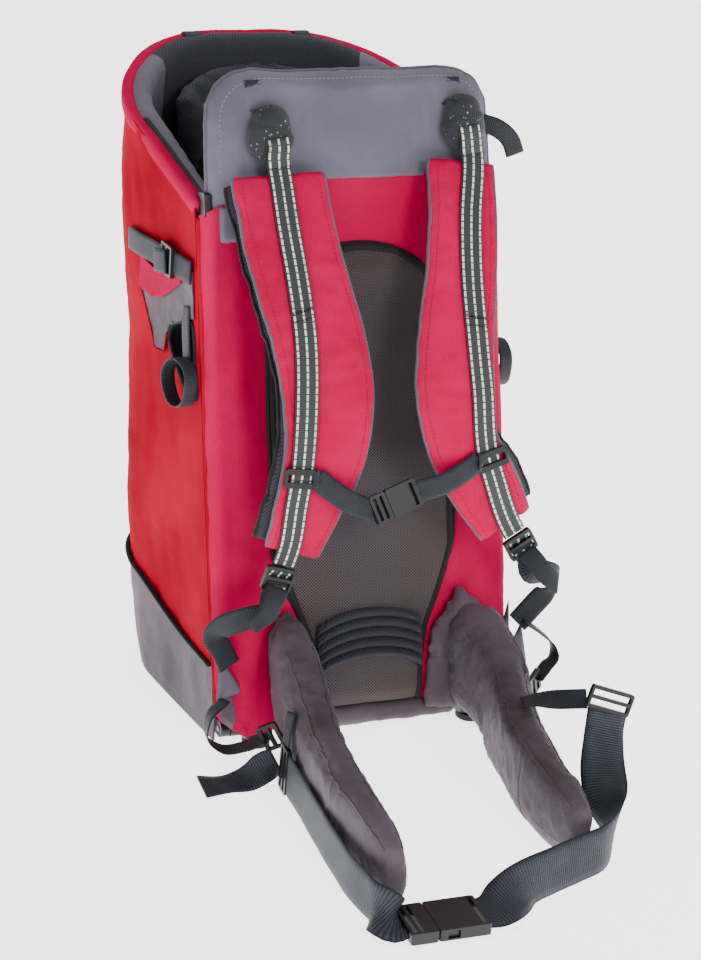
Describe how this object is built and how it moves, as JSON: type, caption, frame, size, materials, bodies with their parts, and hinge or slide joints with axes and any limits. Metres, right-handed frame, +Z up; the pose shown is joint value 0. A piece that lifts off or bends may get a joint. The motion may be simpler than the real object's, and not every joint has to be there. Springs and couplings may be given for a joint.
{
  "type": "child carrier backpack",
  "caption": "Framed backpack for carrying a child, standing on its fold-out stand, with padded shoulder straps, a padded hip belt, an open child seat and a lower bag",
  "frame": {"origin": "middle of the footprint of the whole pack with its belt, on the floor", "axes": "+Z up, +Y from the wearer's side to the rear of the pack, +X to the right as seen facing the straps; the pack leans back on its stand"},
  "size_m": [0.4226, 0.8974, 0.6756],
  "materials": {
    "red_fabric": "coated woven nylon, slightly shiny",
    "grey_fabric": "woven polyester over foam",
    "seat_fabric": "soft brushed lining over foam",
    "black_mesh": "spacer mesh over foam",
    "black_webbing": "ribbed woven webbing",
    "reflective_webbing": "dark webbing with three light dashed reflective lines",
    "black_plastic": "moulded acetal, satin",
    "board_plastic": "flat polyethylene board",
    "rubber": "moulded rubber",
    "aluminium_tube": "anodised round tube",
    "steel_pin": "plain rivet"
  },
  "bodies": {
    "pack": {"main_frame_tube": "aluminium_tube", "cross_bars": "aluminium_tube", "back_board": "board_plastic", "rim_hoop": "aluminium_tube", "hoop_brackets": "black_plastic", "foot_fitting_left": "black_plastic", "foot_fitting_right": "black_plastic", "foot_pads": "rubber", "pivot_pins": "steel_pin", "child_compartment": "red_fabric", "lower_bag": "red_fabric", "bag_base": "grey_fabric", "front_panel": "red_fabric", "back_mesh_pad": "black_mesh", "lumbar_pad": "grey_fabric", "bottom_hem": "grey_fabric", "head_panel": "grey_fabric", "webbing_tabs": "black_webbing", "strap_anchors": "grey_fabric", "child_seat": "seat_fabric", "child_back_pad": "seat_fabric", "headrest_pad": "black_mesh", "child_harness_webbing": "black_webbing", "child_harness_buckle": "black_plastic", "side_webbing": "black_webbing", "stirrup_tabs": "black_webbing", "rim_tabs": "black_webbing", "side_tabs": "grey_fabric", "lower_webbing": "reflective_webbing", "stabiliser_webbing": "black_webbing", "strap_knot_left": "black_webbing", "strap_knot_right": "black_webbing"},
    "stand": {"stand_frame": "aluminium_tube", "stand_feet": "rubber"},
    "harness": {"shoulder_strap_left": "red_fabric", "shoulder_strap_right": "red_fabric", "shoulder_pad_left": "black_mesh", "shoulder_pad_right": "black_mesh", "strap_webbing": "reflective_webbing"},
    "sternum": {"sternum_slider_left": "black_plastic", "sternum_slider_right": "black_plastic", "sternum_webbing_left": "reflective_webbing", "sternum_webbing_right": "reflective_webbing", "sternum_buckle_female": "black_plastic"},
    "sternum_prongs": {"sternum_buckle_male": "black_plastic"},
    "hip_belt": {"hip_wing_left": "grey_fabric", "hip_wing_right": "grey_fabric", "hip_webbing_left": "black_webbing", "hip_webbing_right": "black_webbing", "hip_buckle_female": "black_plastic", "hip_adjusters": "black_plastic", "wing_links": "black_webbing", "stabiliser_locks": "black_plastic"},
    "hip_prongs": {"hip_buckle_male": "black_plastic"},
    "lower_lock_left": {"lower_lock_left": "black_plastic"},
    "lower_lock_right": {"lower_lock_right": "black_plastic"},
    "side_lock_left": {"side_lock_left": "black_plastic"},
    "side_lock_right": {"side_lock_right": "black_plastic"},
    "stirrup_left": {"stirrup_loop_left": "black_webbing"},
    "stirrup_right": {"stirrup_loop_right": "black_webbing"}
  },
  "joints": [
    {"name": "stand_fold", "type": "hinge", "parent": "pack", "child": "stand", "pos_m": [0.00043, -0.04077, 0.018], "axis": [1, 0, 0], "range_deg": [0, 60], "deforming": ["lower_bag", "bag_base"]},
    {"name": "harness_swing", "type": "hinge", "parent": "pack", "child": "harness", "pos_m": [0.00043, 0.07928, 0.58969], "axis": [-1, 0, 0], "range_deg": [0, 15], "deforming": ["lower_webbing"]},
    {"name": "sternum_height", "type": "slide", "parent": "harness", "child": "sternum", "axis": [0, 0.1282, 0.9918], "range_m": [-0.008, 0.008]},
    {"name": "sternum_release", "type": "slide", "parent": "sternum", "child": "sternum_prongs", "axis": [-0.9468, -0.0887, -0.3094], "range_m": [0, 0.02], "deforming": ["sternum_webbing_left"]},
    {"name": "hip_belt_lift", "type": "hinge", "parent": "pack", "child": "hip_belt", "pos_m": [0.00043, -0.03676, 0.14], "axis": [-1, 0, 0], "range_deg": [0, 30], "deforming": ["stabiliser_webbing", "lower_webbing"]},
    {"name": "hip_buckle_release", "type": "slide", "parent": "hip_belt", "child": "hip_prongs", "axis": [-0.9992, 0.04, -0.01], "range_m": [0, 0.035], "deforming": ["hip_webbing_left"]},
    {"name": "lower_lock_left_tilt", "type": "hinge", "parent": "harness", "child": "lower_lock_left", "pos_m": [-0.11688, -0.06774, 0.20838], "axis": [-0.956, 0.0038, 0.2934], "range_deg": [0, 25], "deforming": ["lower_webbing"]},
    {"name": "lower_lock_right_tilt", "type": "hinge", "parent": "harness", "child": "lower_lock_right", "pos_m": [0.14787, -0.06515, 0.21834], "axis": [-0.8489, 0.0064, -0.5285], "range_deg": [0, 25], "deforming": ["lower_webbing"]},
    {"name": "side_lock_left_tilt", "type": "hinge", "parent": "pack", "child": "side_lock_left", "pos_m": [-0.17662, 0.13843, 0.46766], "axis": [0, 0.0343, 0.9994], "range_deg": [0, 25]},
    {"name": "side_lock_right_tilt", "type": "hinge", "parent": "pack", "child": "side_lock_right", "pos_m": [0.17748, 0.13843, 0.46766], "axis": [0, -0.0343, -0.9994], "range_deg": [0, 25]},
    {"name": "stirrup_left_swing", "type": "hinge", "parent": "pack", "child": "stirrup_left", "pos_m": [-0.17358, 0.09419, 0.38048], "axis": [0, 0.9613, -0.2756], "range_deg": [0, 60]},
    {"name": "stirrup_right_swing", "type": "hinge", "parent": "pack", "child": "stirrup_right", "pos_m": [0.17444, 0.09419, 0.38048], "axis": [0, -0.9613, 0.2756], "range_deg": [0, 60]}
  ]
}
